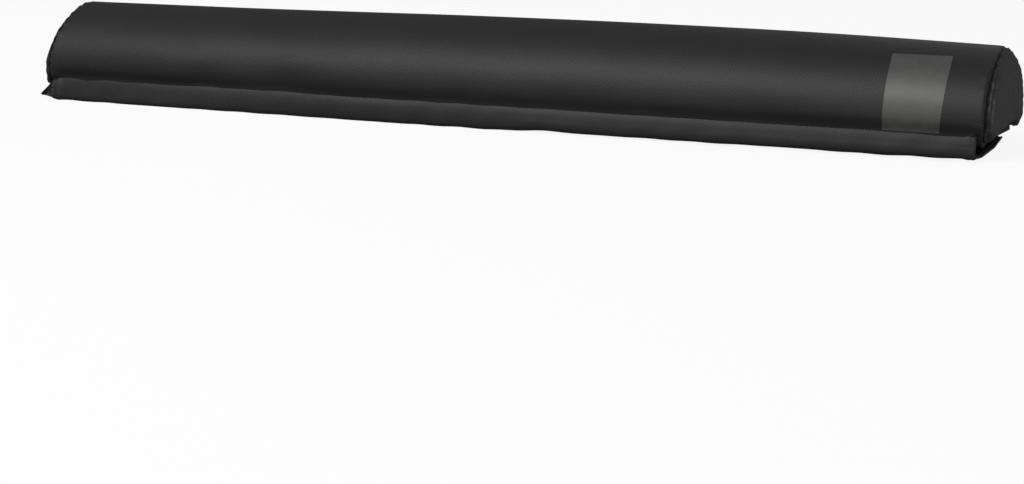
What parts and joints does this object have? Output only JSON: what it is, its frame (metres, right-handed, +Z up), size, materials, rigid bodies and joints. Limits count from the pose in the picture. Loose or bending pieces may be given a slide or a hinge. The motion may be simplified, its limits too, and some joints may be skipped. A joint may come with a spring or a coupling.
{
  "type": "roof rack pad",
  "caption": "Soft crossbar pad for a roof rack: a foam bar of D section in a sewn woven cover with a wrap-under hook and loop closure flap.",
  "frame": {"origin": "middle of the overall box in X and Y, at the underside of the folded flap that the pad rests on", "axes": "+X along the pad to its right end seen from the front, -Y towards the front where the flap hangs, +Z up towards the rounded top"},
  "size_m": [0.7754, 0.1164, 0.0773],
  "materials": {
    "cover_fabric": "black woven polyester, soft sheen",
    "foam": "closed-cell foam, matt",
    "hook_tape": "black nylon hook tape",
    "loop_tape": "black nylon loop tape",
    "patch_film": "plain satin grey transfer film"
  },
  "bodies": {
    "root": {"foam_core": "foam", "cover_top_panel": "cover_fabric", "cover_base_panel": "cover_fabric", "end_cap_left": "cover_fabric", "end_cap_right": "cover_fabric", "closure_flap": "cover_fabric", "hook_strip": "hook_tape", "loop_strip": "loop_tape", "transfer_patch": "patch_film"}
  },
  "joints": []
}
